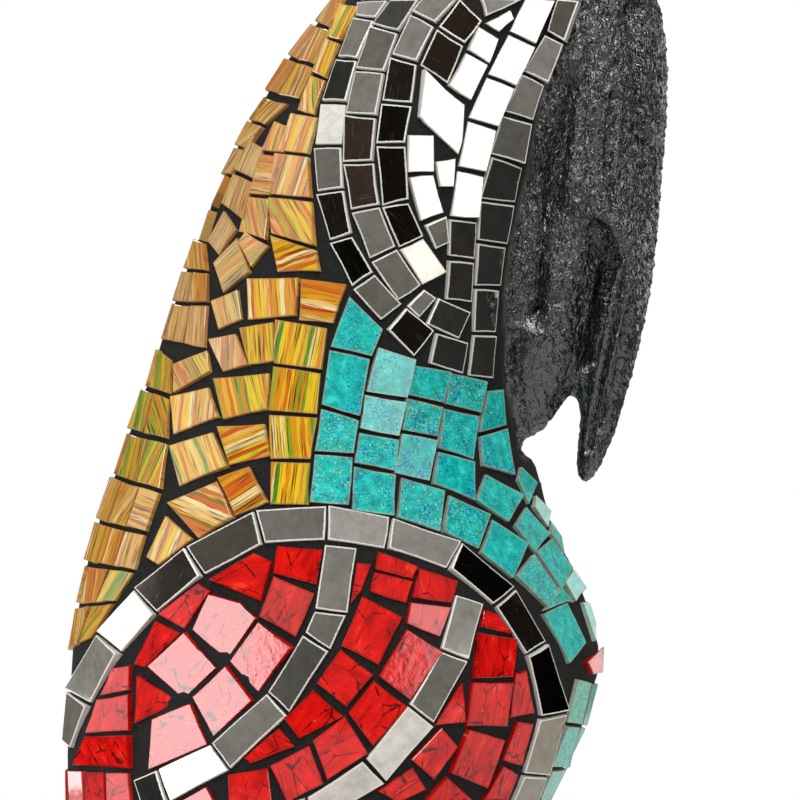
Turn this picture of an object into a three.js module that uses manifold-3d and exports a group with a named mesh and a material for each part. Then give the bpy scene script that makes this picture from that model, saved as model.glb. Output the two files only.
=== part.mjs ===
// A free-standing mosaic bust of a bird: a carved, black painted body with a hooked bill,
// covered with a skin of glass and mirror tiles. Millimetres, +Z up, the bill points to +X,
// the origin is on the underside. The bird's right side is the -Y side.
import * as THREE from "three";
import { mergeVertices } from "three/addons/utils/BufferGeometryUtils.js";
import Module from "manifold-3d";

// Driving dimensions
const bustHeight = 250; // underside to crown
const tileThickness = 3; // glass and mirror tiles
const bedGap = 0.3; // between the back of a tile and the carved body
const jointWidth = 1.2; // between one field of tiles and the next
const skinLift = 1; // the lowest tiles end this far above the underside
const sideGap = 0.6; // half of the joint between the two wings at the back
const bandTileLength = 17; // long mirror tiles over the wing shoulder
const bandTileWidth = 8.2;
const featherTileLength = 18; // mirror tiles of the feather arcs
const featherTileWidth = 7.6;
const longTileJoint = 1.1; // between two long tiles in a row
const eyeRadius = 5.4;
const eyeRise = 2.6; // how far an eye stands out of the tiles
const furrowDepth = 1.4; // carved furrows along the bill

const bandTileCount = 12; // on each side
const featherTileCount = 5; // in each arc

// How finely the forms are divided
const bodySides = 20;
const bodyRings = 16;
const billSides = 22;
const billRings = 17;
const jawRings = 8;

// Free forms are drawn as shares of the bust's height, on a sheet of squares on which the
// bust is 960 squares high. A place is [across, down]; the underside is at 840 down.
const sheetHeight = 960;
const sheetFloor = 840;
const sheetMiddle = 305;
const square = bustHeight / sheetHeight;
const acrossToX = (across) => (across - sheetMiddle) * square;
const downToZ = (down) => (sheetFloor - down) * square;

// Body stations: down, back, front, half depth, how pointed the section's two ends are
// (0.5 is an ellipse, 1 is a lens).
const bodyStations = [
  [-107, 465, 556, 54, 0.5],
  [-76, 415, 595, 98, 0.6],
  [-32, 362, 613, 127, 0.7],
  [6, 325, 612, 140, 0.8],
  [58, 282, 603, 150, 0.85],
  [128, 240, 590, 156, 0.88],
  [200, 207, 574, 159, 0.9],
  [302, 168, 548, 163, 0.9],
  [391, 138, 533, 168, 0.88],
  [430, 124, 531, 172, 0.86],
  [475, 108, 545, 178, 0.84],
  [529, 90, 559, 187, 0.82],
  [579, 77, 585, 194, 0.8],
  [657, 66, 608, 200, 0.76],
  [726, 62, 589, 201, 0.74],
  [840, 64, 530, 194, 0.7],
  [856, 66, 520, 192, 0.7],
];
const crown = [508, -119];

// Upper mandible stations: down, inner edge, outer edge, half depth. Below the notch at
// 383 down its inner edge is free.
const billStations = [
  [-66, 586, 610, 40],
  [-50, 540, 632, 68],
  [-10, 512, 655, 90],
  [30, 502, 664, 99],
  [70, 496, 668, 103],
  [110, 492, 667, 104],
  [153, 492, 664, 103],
  [200, 512, 660, 101],
  [232, 574, 657, 97],
  [261, 600, 654, 92],
  [296, 598, 649, 84],
  [321, 590, 646, 75],
  [357, 584, 637, 60],
  [383, 577, 631, 47],
  [400, 578, 626, 39],
  [425, 578, 619, 31],
  [451, 575, 609, 26],
  [474, 572, 599, 20],
  [485, 578, 593, 11],
];
const billTip = [586, 489];

// Lower mandible stations, the same way. Its outer edge is free below the notch.
const jawStations = [
  [120, 500, 566, 62],
  [165, 492, 592, 80],
  [206, 488, 604, 90],
  [250, 486, 608, 91],
  [296, 486, 604, 85],
  [325, 486, 596, 77],
  [357, 486, 590, 66],
  [383, 486, 577, 56],
  [400, 488, 566, 47],
  [418, 492, 554, 37],
  [430, 498, 547, 26],
];
const jawTip = [530, 441];

// Furrows along the bill: share of the way from inner to outer edge, share of the depth cut.
const furrows = [
  { at: 0.3, cut: 1 },
  { at: 0.56, cut: 0.8 },
  { at: 0.82, cut: 1.3 },
];
const furrowWidth = 0.055;
const mandibleEnds = 0.46; // a mandible's section is a little fuller than an ellipse

// Outlines of the fields, seen from the side
const cheekOutline = [
  [360, 4], [354, 22], [334, 63], [321, 107], [314, 151], [316, 199], [331, 248],
  [351, 287], [379, 322], [416, 358], [463, 375], [493, 381], [497, 334], [498, 291],
  [505, 244], [516, 202], [522, 170], [532, 126], [546, 86], [561, 50], [577, 4],
  [592, -40], [586, -66], [556, -84], [500, -90], [444, -74], [398, -44], [370, -10],
];
const bareBillOutline = [
  [588, -72], [592, -40], [579, 4], [563, 50], [548, 87], [534, 126], [524, 168],
  [518, 202], [507, 245], [502, 288], [499, 335], [496, 379], [504, 402], [507, 431],
  [515, 470], [524, 464], [538, 458], [546, 449], [760, 440], [760, -72],
];
const napeOutline = [
  [349, 291], [331, 330], [324, 369], [320, 412], [313, 457], [309, 503], [309, 760],
  [-80, 760], [-80, -200], [760, -200], [760, -68], [596, -68], [500, 0], [420, 270],
];
const bandLine = [
  [500, 845], [524, 800], [541, 742], [545, 679], [522, 620], [479, 572], [420, 541],
  [358, 525], [295, 521], [229, 542], [171, 579], [120, 626], [80, 676], [50, 726],
];
const featherLines = [
  [[349, 525], [343, 543], [333, 603], [316, 642], [281, 697], [224, 750], [165, 781], [96, 806]],
  [[479, 572], [470, 594], [456, 648], [424, 708], [375, 768], [310, 806], [232, 830]],
];
const eyePlace = [496, -42];

const wasm = await Module();
wasm.setup();

/** A closed geometry as a solid for joining and cutting. */
function solidOf(geometry) {
  geometry.deleteAttribute("normal");
  geometry.deleteAttribute("uv");
  const merged = mergeVertices(geometry, 1e-4);
  return new wasm.Manifold(
    new wasm.Mesh({
      numProp: 3,
      vertProperties: merged.attributes.position.array,
      triVerts: new Uint32Array(merged.index.array),
    }),
  );
}

/** A solid as a named mesh with its finish. */
function meshOf(name, solid, finish) {
  const { vertProperties, triVerts } = solid.getMesh();
  const geometry = new THREE.BufferGeometry();
  geometry.setAttribute("position", new THREE.BufferAttribute(vertProperties, 3));
  geometry.setIndex(new THREE.BufferAttribute(triVerts, 1));
  geometry.computeVertexNormals();
  const mesh = new THREE.Mesh(geometry, finish);
  mesh.name = name;
  return mesh;
}

/** One station's values at a height down the sheet, on a smooth curve through the stations. */
function stationAt(stations, down) {
  let next = stations.findIndex((station) => station[0] >= down);
  if (next < 1) next = next < 0 ? stations.length - 1 : 1;
  const rows = [-2, -1, 0, 1].map(
    (step) => stations[Math.min(Math.max(next + step, 0), stations.length - 1)],
  );
  const [before, low, high, after] = rows;
  const span = high[0] - low[0];
  const share = (down - low[0]) / span;
  const slope = (a, b, column) => (b[0] === a[0] ? 0 : (b[column] - a[column]) / (b[0] - a[0]));
  return low.map((value, column) => {
    if (column === 0) return down;
    const leave = slope(before, high, column) * span;
    const arrive = slope(low, after, column) * span;
    const square2 = share * share;
    const cube = square2 * share;
    return (
      (2 * cube - 3 * square2 + 1) * value +
      (cube - 2 * square2 + share) * leave +
      (3 * square2 - 2 * cube) * high[column] +
      (cube - square2) * arrive
    );
  });
}

/** Heights down the sheet for a loft: the stations' own, and even steps between them. */
function heightsDown(stations, count) {
  const first = stations[0][0];
  const last = stations[stations.length - 1][0];
  const stride = (last - first) / count;
  const heights = [];
  stations.slice(0, -1).forEach((station, index) => {
    const span = stations[index + 1][0] - station[0];
    const parts = Math.max(1, Math.round(span / stride));
    for (let part = 0; part < parts; part += 1) heights.push(station[0] + (span * part) / parts);
  });
  heights.push(last);
  return heights;
}

/** A level ring round the form from its back edge, by way of -Y, to its front edge and home. */
function ringAt(down, from, to, halfDepth, pointed, sides, carve = () => 0) {
  const middle = (from + to) / 2;
  const reach = (to - from) / 2;
  return Array.from({ length: sides }, (_, side) => {
    const turn = (2 * Math.PI * side) / sides;
    const share = (1 - Math.cos(turn)) / 2;
    const rise = Math.abs(Math.sin(turn)) ** (2 * pointed);
    const depth = Math.max(halfDepth * square * rise - carve(share, down) * rise, 0);
    return new THREE.Vector3(
      acrossToX(middle - reach * Math.cos(turn)),
      -Math.sign(Math.sin(turn)) * depth,
      downToZ(down),
    );
  });
}

/** A closed loft through rings, from a top point to a bottom point. */
function loftOf(rings, top, bottom) {
  const sides = rings[0].length;
  const points = [...rings.flat(), top, bottom];
  const topIndex = points.length - 2;
  const bottomIndex = points.length - 1;
  const faces = [];
  for (let side = 0; side < sides; side += 1) {
    const beside = (side + 1) % sides;
    faces.push(topIndex, side, beside);
    for (let ring = 0; ring < rings.length - 1; ring += 1) {
      const upper = ring * sides;
      const lower = upper + sides;
      faces.push(upper + side, lower + side, lower + beside);
      faces.push(upper + side, lower + beside, upper + beside);
    }
    const last = (rings.length - 1) * sides;
    faces.push(bottomIndex, last + beside, last + side);
  }
  const geometry = new THREE.BufferGeometry();
  const flat = new Float32Array(points.flatMap((point) => [point.x, point.y, point.z]));
  geometry.setAttribute("position", new THREE.BufferAttribute(flat, 3));
  geometry.setIndex(faces);
  return solidOf(geometry);
}

/** The same rings, moved inwards along their own normals. */
function inset(rings, distance) {
  const sides = rings[0].length;
  return rings.map((ring, row) => {
    const centre = ring.reduce((sum, point) => sum.add(point), new THREE.Vector3());
    centre.divideScalar(sides);
    return ring.map((point, side) => {
      const along = ring[(side + 1) % sides].clone().sub(ring[(side + sides - 1) % sides]);
      const below = rings[Math.min(row + 1, rings.length - 1)][side];
      const above = rings[Math.max(row - 1, 0)][side];
      const normal = along.cross(below.clone().sub(above)).normalize();
      if (normal.dot(point.clone().sub(centre)) > 0) normal.negate();
      return point.clone().addScaledVector(normal, distance);
    });
  });
}

/** Everything between two depths inside an outline drawn on the sheet. */
function prism(outline, fromY, toY) {
  const shape = new THREE.Shape(
    outline.map(([across, down]) => new THREE.Vector2(acrossToX(across), downToZ(down))),
  );
  const geometry = new THREE.ExtrudeGeometry(shape, {
    depth: toY - fromY,
    bevelEnabled: false,
  });
  geometry.rotateX(Math.PI / 2);
  geometry.translate(0, toY, 0);
  return solidOf(geometry);
}

/** An outline moved outwards by a distance in millimetres. */
function grown(outline, distance) {
  const squares = distance / square;
  const area = outline.reduce((sum, [across, down], index) => {
    const [nextAcross, nextDown] = outline[(index + 1) % outline.length];
    return sum + across * nextDown - nextAcross * down;
  }, 0);
  const outwards = Math.sign(area) * squares;
  return outline.map(([across, down], index) => {
    const before = outline[(index + outline.length - 1) % outline.length];
    const after = outline[(index + 1) % outline.length];
    const along = new THREE.Vector2(after[0] - before[0], after[1] - before[1]).normalize();
    return [across + along.y * outwards, down - along.x * outwards];
  });
}

/** A smooth line through places on the sheet. */
function lineThrough(places) {
  return new THREE.CatmullRomCurve3(
    places.map(([across, down]) => new THREE.Vector3(across, down, 0)),
    false,
    "centripetal",
  );
}

/** The place at a share of a line's length, a distance in squares to its outer side. */
function beside(line, share, off) {
  const place = line.getPointAt(Math.min(Math.max(share, 0), 1));
  const along = line.getTangentAt(Math.min(Math.max(share, 0), 1));
  return [place.x - along.y * off, place.y + along.x * off];
}

/** Outlines of long tiles laid end to end along a line; the two end tiles are cut to fit. */
function tilesAlong(places, length, width, count, clearStart = 0) {
  const line = lineThrough(places);
  const whole = line.getLength() * square;
  const pitch = length + longTileJoint;
  const endPitch = (whole - clearStart - (count - 2) * pitch) / 2;
  const cuts = [0, ...Array.from({ length: count - 1 }, (_, tile) => endPitch + tile * pitch)];
  cuts.push(whole - clearStart);
  const half = width / square / 2;
  return Array.from({ length: count }, (_, tile) => {
    const start = (clearStart + cuts[tile] + longTileJoint / 2) / whole;
    const end = (clearStart + cuts[tile + 1] - longTileJoint / 2) / whole;
    return [
      beside(line, start, half),
      beside(line, end, half),
      beside(line, end, -half),
      beside(line, start, -half),
    ];
  });
}

/** The lane that a row of long tiles and its joints take, the whole length of its line. */
function laneOf(places, width) {
  const line = lineThrough(places);
  const steps = 2 * places.length;
  const off = (width / 2 + jointWidth) / square;
  const edge = (distance) =>
    Array.from({ length: steps + 1 }, (_, step) => beside(line, step / steps, distance));
  return [...edge(off), ...edge(-off).reverse()];
}

/** The region under the band, out to a distance in millimetres from the band's middle. */
function shoulderRegion(distance) {
  const line = lineThrough(bandLine);
  const steps = 2 * bandLine.length;
  const off = distance / square;
  const edge = Array.from({ length: steps + 1 }, (_, step) => beside(line, step / steps, off));
  return [...edge, [-80, 760], [-80, 900], [450, 900]];
}

const farAway = 2 * bustHeight;
const bodyHeights = heightsDown(bodyStations, bodyRings);
const faceRings = bodyHeights.map((down) => {
  const [, back, front, halfDepth, pointed] = stationAt(bodyStations, down);
  return ringAt(down, back, front, halfDepth, pointed, bodySides);
});
const crownPoint = (depth) =>
  new THREE.Vector3(acrossToX(crown[0]), 0, downToZ(crown[1]) - depth);
const solePoint = new THREE.Vector3(0, 0, faceRings[faceRings.length - 1][0].z - skinLift);

/** The body's form, a distance inside the faces of the tiles. */
function bodyInside(distance) {
  const rings = distance ? inset(faceRings, distance) : faceRings;
  return loftOf(rings, crownPoint(distance), solePoint);
}

/** How deep the bill's furrows are at a share of its width. */
function furrowAt(share, down) {
  return furrows.reduce((sum, furrow, index) => {
    const wander = 0.03 * Math.sin(down / 55 + 2 * index);
    const off = (share - furrow.at - wander) / furrowWidth;
    return sum + furrowDepth * furrow.cut * Math.exp(-off * off);
  }, 0);
}

/** One mandible, carved with furrows, or the room round it that the tiles keep clear. */
function mandible(stations, tip, ringCount, clearance = 0) {
  const carve = clearance ? undefined : furrowAt;
  const carved = heightsDown(stations, ringCount).map((down) => {
    const [, inner, outer, halfDepth] = stationAt(stations, down);
    return ringAt(down, inner, outer, halfDepth, mandibleEnds, billSides, carve);
  });
  const rings = clearance ? inset(carved, -clearance) : carved;
  const topRing = rings[0];
  const top = topRing.reduce((sum, point) => sum.add(point), new THREE.Vector3());
  top.divideScalar(topRing.length);
  top.z += 1;
  const bottom = new THREE.Vector3(acrossToX(tip[0]), 0, downToZ(tip[1]) - clearance);
  return loftOf(rings, top, bottom);
}

/** Both eyes, low bosses that stand out through the cheek tiles. */
function eyes(radius) {
  const [, back, front, halfDepth, pointed] = stationAt(bodyStations, eyePlace[1]);
  const off = (eyePlace[0] - (back + front) / 2) / ((front - back) / 2);
  const depth = halfDepth * square * (1 - off * off) ** pointed;
  const oneEye = (side) => {
    const geometry = new THREE.SphereGeometry(radius, 16, 10);
    geometry.scale(1, (tileThickness + eyeRise) / eyeRadius, 1);
    geometry.translate(
      acrossToX(eyePlace[0]),
      side * (depth - tileThickness),
      downToZ(eyePlace[1]),
    );
    return solidOf(geometry);
  };
  return oneEye(-1).add(oneEye(1));
}

/** Everything above a height, as far out as the bust goes. */
function above(height) {
  const geometry = new THREE.BoxGeometry(farAway, farAway, farAway);
  geometry.translate(0, 0, farAway / 2 + height);
  return solidOf(geometry);
}

const finishes = {
  carving: new THREE.MeshStandardMaterial({ color: 0x1c1b1a, roughness: 0.38, metalness: 0 }),
  nape: new THREE.MeshStandardMaterial({ color: 0xd99a2b, roughness: 0.12, metalness: 0 }),
  mirror: new THREE.MeshStandardMaterial({ color: 0xa9a8a4, roughness: 0.05, metalness: 1 }),
  throat: new THREE.MeshStandardMaterial({ color: 0x18a79f, roughness: 0.12, metalness: 0 }),
  wing: new THREE.MeshStandardMaterial({ color: 0xb90d0a, roughness: 0.1, metalness: 0 }),
};

const bust = new THREE.Group();
const add = (name, solid, finish) => bust.add(meshOf(name, solid, finish));

const carvedBody = bodyInside(tileThickness + bedGap)
  .add(mandible(billStations, billTip, billRings))
  .add(mandible(jawStations, jawTip, jawRings))
  .add(eyes(eyeRadius))
  .intersect(above(0));
add("carved_body", carvedBody, finishes.carving);

const skin = bodyInside(0)
  .subtract(bodyInside(tileThickness))
  .subtract(prism(bareBillOutline, -farAway, farAway))
  .subtract(mandible(billStations, billTip, billRings, jointWidth))
  .subtract(mandible(jawStations, jawTip, jawRings, jointWidth))
  .intersect(above(skinLift));
const cheekAndJoint = prism(grown(cheekOutline, jointWidth), -farAway, farAway);
const bandHalf = bandTileWidth / 2;
const bandAndWing = prism(shoulderRegion(bandHalf + jointWidth), -farAway, farAway);
const restOfSkin = skin.subtract(cheekAndJoint).subtract(bandAndWing);
const napePrism = prism(napeOutline, -farAway, farAway);
const napeAndJoint = prism(grown(napeOutline, jointWidth), -farAway, farAway);
add("crown_and_nape_tiles", restOfSkin.intersect(napePrism), finishes.nape);
add("throat_and_breast_tiles", restOfSkin.subtract(napeAndJoint), finishes.throat);

const bandTiles = tilesAlong(bandLine, bandTileLength, bandTileWidth, bandTileCount);
const underBand = bandHalf + 2 * longTileJoint;
const featherTiles = featherLines.map((line) =>
  tilesAlong(line, featherTileLength, featherTileWidth, featherTileCount, underBand),
);
const sides = [
  { name: "right", fromY: -farAway, toY: -sideGap },
  { name: "left", fromY: sideGap, toY: farAway },
];
for (const { name, fromY, toY } of sides) {
  const cheek = skin
    .intersect(prism(cheekOutline, fromY, toY))
    .subtract(eyes(eyeRadius + jointWidth));
  add(`cheek_tiles_${name}`, cheek, finishes.mirror);

  bandTiles.forEach((outline, index) => {
    const tile = skin.intersect(prism(outline, fromY, toY));
    if (!tile.isEmpty()) add(`band_mirror_${name}_${index + 1}`, tile, finishes.mirror);
  });

  let field = skin.intersect(prism(shoulderRegion(-bandHalf - jointWidth), fromY, toY));
  featherTiles.forEach((row, rowIndex) => {
    field = field.subtract(prism(laneOf(featherLines[rowIndex], featherTileWidth), fromY, toY));
    row.forEach((outline, index) => {
      const tile = skin.intersect(prism(outline, fromY, toY));
      if (tile.isEmpty()) return;
      add(`feather_mirror_${name}_${rowIndex + 1}_${index + 1}`, tile, finishes.mirror);
    });
  });
  const parts = field.decompose().sort((one, other) => other.volume() - one.volume());
  parts.forEach((part, index) => add(`wing_tiles_${name}_${index + 1}`, part, finishes.wing));
}

export default bust;
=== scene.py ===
"""A mosaic bust of a bird: a carved black bill and body, covered with glass and mirror tiles."""
import logging
import math
import random
from dataclasses import dataclass, field
from enum import Enum
from typing import Callable, Iterable, Sequence

import bmesh
import bpy
from mathutils import Matrix, Vector, noise
from mathutils.bvhtree import BVHTree


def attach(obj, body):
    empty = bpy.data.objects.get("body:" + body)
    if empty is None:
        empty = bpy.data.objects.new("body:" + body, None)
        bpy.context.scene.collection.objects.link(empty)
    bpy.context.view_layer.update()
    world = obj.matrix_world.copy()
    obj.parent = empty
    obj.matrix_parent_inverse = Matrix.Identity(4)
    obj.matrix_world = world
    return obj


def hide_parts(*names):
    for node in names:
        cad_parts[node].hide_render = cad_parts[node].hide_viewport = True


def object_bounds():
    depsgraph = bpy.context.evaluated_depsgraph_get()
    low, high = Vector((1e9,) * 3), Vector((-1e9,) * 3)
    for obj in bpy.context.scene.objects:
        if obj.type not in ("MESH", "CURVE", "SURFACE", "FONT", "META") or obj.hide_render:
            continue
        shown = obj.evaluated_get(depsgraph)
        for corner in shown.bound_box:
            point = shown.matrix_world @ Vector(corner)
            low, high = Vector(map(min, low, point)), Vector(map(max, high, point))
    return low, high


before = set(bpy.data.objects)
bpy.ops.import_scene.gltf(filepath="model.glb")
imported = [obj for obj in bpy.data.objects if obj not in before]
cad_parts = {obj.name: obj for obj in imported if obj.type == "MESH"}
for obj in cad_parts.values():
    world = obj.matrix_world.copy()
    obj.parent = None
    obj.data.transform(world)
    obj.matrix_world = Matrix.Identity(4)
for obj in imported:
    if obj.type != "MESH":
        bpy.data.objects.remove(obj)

logging.basicConfig(level=logging.INFO, format="%(message)s")
log = logging.getLogger("bust")

MM = 0.001
CARVING_SEED = 11  # without one, noise_vector starts from the time and no two runs match
CAD_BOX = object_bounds()

Place = tuple[float, float]
Corner = tuple[float, float, float]
Stop = tuple[float, float, float, float]


# The drawing sheet: the bust is 960 squares high, and its underside is at 840 down
SHEET_HEIGHT = 960.0
SHEET_FLOOR = 840.0
SHEET_MIDDLE = 305.0
BUST_HEIGHT = CAD_BOX[1].z - CAD_BOX[0].z
SQUARE = BUST_HEIGHT / SHEET_HEIGHT
FACE_LIFT = 3.3 * MM  # the tiles' faces above the carved core
GROUT_LIFT = 2.3 * MM  # the grout's surface above the carved core
SOLE = 1.2 * MM  # what is lower belongs to the flat underside and isn't roughened

GLASS_IOR = 1.52
SEED_DEPTH = 61.0  # how far apart two tiles' patterns are taken from a texture


def to_x(across: float) -> float:
    """Return the X of a place across the sheet."""
    return (across - SHEET_MIDDLE) * SQUARE


def to_z(down: float) -> float:
    """Return the Z of a place down the sheet."""
    return (SHEET_FLOOR - down) * SQUARE


def linear(code: str) -> tuple[float, float, float, float]:
    """Turn an sRGB hex colour to linear.

    Args:
        code: Six hex digits after a #.

    Returns:
        Linear red, green, blue and an alpha of 1.
    """
    parts = [int(code[i : i + 2], 16) / 255.0 for i in (1, 3, 5)]
    red, green, blue = (
        part / 12.92 if part <= 0.04045 else ((part + 0.055) / 1.055) ** 2.4 for part in parts
    )
    return red, green, blue, 1.0


def add_node(tree: bpy.types.NodeTree, kind: str, settings: dict | None = None,
             links: dict | None = None) -> bpy.types.Node:
    """Add one shader node.

    Args:
        tree: The material's node tree.
        kind: The node's type name.
        settings: Node attributes by name, and input values by index or by a name that starts "in:".
        links: Output sockets by the name or index of the input that each feeds.

    Returns:
        The new node.
    """
    made = tree.nodes.new(kind)
    for key, value in (settings or {}).items():
        if isinstance(key, int):
            made.inputs[key].default_value = value
        elif key.startswith("in:"):
            made.inputs[key[3:]].default_value = value
        else:
            setattr(made, key, value)
    for key, socket in (links or {}).items():
        tree.links.new(socket, made.inputs[key])
    return made


def ramp(tree: bpy.types.NodeTree, source: bpy.types.NodeSocket,
         stops: Sequence[tuple[float, str]]) -> bpy.types.NodeSocket:
    """Colour a value through a ramp.

    Args:
        tree: The material's node tree.
        source: The value's socket.
        stops: Positions and hex colours.

    Returns:
        The ramp's colour socket.
    """
    made = add_node(tree, "ShaderNodeValToRGB", links={0: source})
    elements = made.color_ramp.elements
    while len(elements) < len(stops):
        elements.new(1.0)
    for element, (position, code) in zip(elements, stops):
        element.position = position
        element.color = linear(code)
    return made.outputs[0]


def math_node(tree: bpy.types.NodeTree, operation: str, *values: object) -> bpy.types.NodeSocket:
    """Work out one value from others.

    Args:
        tree: The material's node tree.
        operation: The operation's name.
        values: Numbers or sockets.

    Returns:
        The result's socket.
    """
    numbers = {i: v for i, v in enumerate(values) if isinstance(v, (int, float))}
    sockets = {i: v for i, v in enumerate(values) if not isinstance(v, (int, float))}
    made = add_node(tree, "ShaderNodeMath", {"operation": operation, **numbers}, sockets)
    return made.outputs[0]


def blend_colours(tree: bpy.types.NodeTree, share: object, first: object, second: object,
                  mode: str = "MIX") -> bpy.types.NodeSocket:
    """Mix two colours.

    Args:
        tree: The material's node tree.
        share: Number or socket, 0 for the first.
        first: Hex colour or socket.
        second: Hex colour or socket.
        mode: The blend's type.

    Returns:
        The mixed colour's socket.
    """
    made = add_node(tree, "ShaderNodeMix", {"data_type": "RGBA", "blend_type": mode})
    for index, value in ((0, share), (6, first), (7, second)):
        if isinstance(value, str):
            made.inputs[index].default_value = linear(value)
        elif isinstance(value, (int, float)):
            made.inputs[index].default_value = value
        else:
            tree.links.new(value, made.inputs[index])
    return made.outputs[2]


def fresh_material(name: str) -> tuple[bpy.types.Material, bpy.types.NodeTree, bpy.types.Node]:
    """Return a new material, its tree and its Principled shader.

    Args:
        name: The material's name.

    Returns:
        The material, its node tree and its Principled shader.
    """
    material = bpy.data.materials.new(name)
    material.use_nodes = True
    tree = material.node_tree
    shader = next(n for n in tree.nodes if n.type == "BSDF_PRINCIPLED")
    return material, tree, shader


@dataclass(frozen=True)
class TileInputs:
    """The sockets that every tile's finish reads."""

    across: bpy.types.NodeSocket
    along: bpy.types.NodeSocket
    seed: bpy.types.NodeSocket
    tone: bpy.types.NodeSocket
    rim: bpy.types.NodeSocket

    @classmethod
    def read(cls, tree: bpy.types.NodeTree) -> "TileInputs":
        """Add the nodes that read a tile's own map and attributes.

        Args:
            tree: The material's node tree.

        Returns:
            The sockets.
        """
        place = add_node(tree, "ShaderNodeUVMap", {"uv_map": "tile_mm"})
        parts = add_node(tree, "ShaderNodeSeparateXYZ", links={0: place.outputs[0]})
        read = {
            name: add_node(tree, "ShaderNodeAttribute", {"attribute_name": name}).outputs["Fac"]
            for name in ("tile_seed", "tile_tone", "tile_rim")
        }
        return cls(parts.outputs[0], parts.outputs[1], read["tile_seed"], read["tile_tone"],
                   read["tile_rim"])

    def pattern(self, tree: bpy.types.NodeTree, across_scale: float, along_scale: float,
                shift: float = 0.0, kind: str = "ShaderNodeTexNoise",
                **settings: object) -> bpy.types.Node:
        """Add a texture on the tile's own millimetres.

        Args:
            tree: The material's node tree.
            across_scale: Cycles for each millimetre across.
            along_scale: Cycles for each millimetre along.
            shift: Separates two patterns of one finish.
            kind: The texture node's type.
            settings: The texture's inputs by name, with _ for a space.

        Returns:
            The texture node.
        """
        across = math_node(tree, "MULTIPLY", self.across, across_scale)
        along = math_node(tree, "MULTIPLY", self.along, along_scale)
        depth = math_node(tree, "MULTIPLY_ADD", self.seed, SEED_DEPTH, shift)
        spot = add_node(tree, "ShaderNodeCombineXYZ", links={0: across, 1: along, 2: depth})
        inputs = {f"in:{key.replace('_', ' ')}": value for key, value in settings.items()}
        return add_node(tree, kind, {"in:Scale": 1.0, **inputs}, {"Vector": spot.outputs[0]})


@dataclass(frozen=True)
class StreakedGlass:
    """Opaque art glass, drawn in ribbons while hot, so its colours run as long streaks."""

    name: str = "streaked_art_glass"
    streaks_per_mm: float = 0.95
    polish: float = 0.1

    def make(self) -> bpy.types.Material:
        """Build the material.

        Returns:
            The material.
        """
        material, tree, shader = fresh_material(self.name)
        tile = TileInputs.read(tree)
        fine = tile.pattern(tree, 3.0, 0.12, 9.0, Detail=4.0, Roughness=0.7)
        bend = tile.pattern(tree, 0.25, 0.12, 2.0, Detail=1.0)
        across = math_node(tree, "MULTIPLY_ADD", tile.across, self.streaks_per_mm, tile.seed)
        across = math_node(tree, "MULTIPLY_ADD", bend.outputs[0], 1.6, across)
        across = math_node(tree, "MULTIPLY_ADD", fine.outputs[0], 0.5, across)
        band = add_node(tree, "ShaderNodeTexVoronoi", {"voronoi_dimensions": "1D", "in:Scale": 1.0},
                        {"W": across})
        pick = add_node(tree, "ShaderNodeSeparateColor", links={0: band.outputs["Color"]})
        value = math_node(tree, "MULTIPLY_ADD", pick.outputs[0], 0.62,
                          math_node(tree, "MULTIPLY", tile.seed, 0.38))
        value = math_node(tree, "MULTIPLY_ADD", fine.outputs[0], 0.12, value)
        ribbons = ramp(tree, value, (
            (0.1, "#3f8418"), (0.2, "#86921a"), (0.3, "#c0aa18"), (0.4, "#dcb616"),
            (0.49, "#cc8c10"), (0.55, "#e0d29a"), (0.59, "#cc8e10"), (0.71, "#c4700e"),
            (0.86, "#b8400c"), (0.92, "#7c6a16"),
        ))
        # painted pale reflection: the tile's tone pales the ribbons towards beige
        painted_pale_reflection = ramp(tree, tile.tone, ((0.1, "#a8741c"), (0.5, "#b08440"), (0.9, "#c2a67c")))
        beige = blend_colours(tree, tile.tone, ribbons, painted_pale_reflection)
        lines = tile.pattern(tree, 2.6, 0.08, 23.0, Detail=2.0)
        dark = ramp(tree, lines.outputs[0], ((0.35, "#4a3010"), (0.45, "#ffffff")))
        colour = blend_colours(tree, 0.85, beige, dark, "MULTIPLY")
        colour = blend_colours(tree, math_node(tree, "MULTIPLY_ADD", tile.rim, -0.55, 0.55),
                               colour, "#a87a46")
        tree.links.new(colour, shader.inputs["Base Color"])
        shader.inputs["Roughness"].default_value = self.polish
        shader.inputs["IOR"].default_value = GLASS_IOR
        add_surface_relief(tree, shader, fine.outputs[0], 0.06)
        return material


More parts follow.
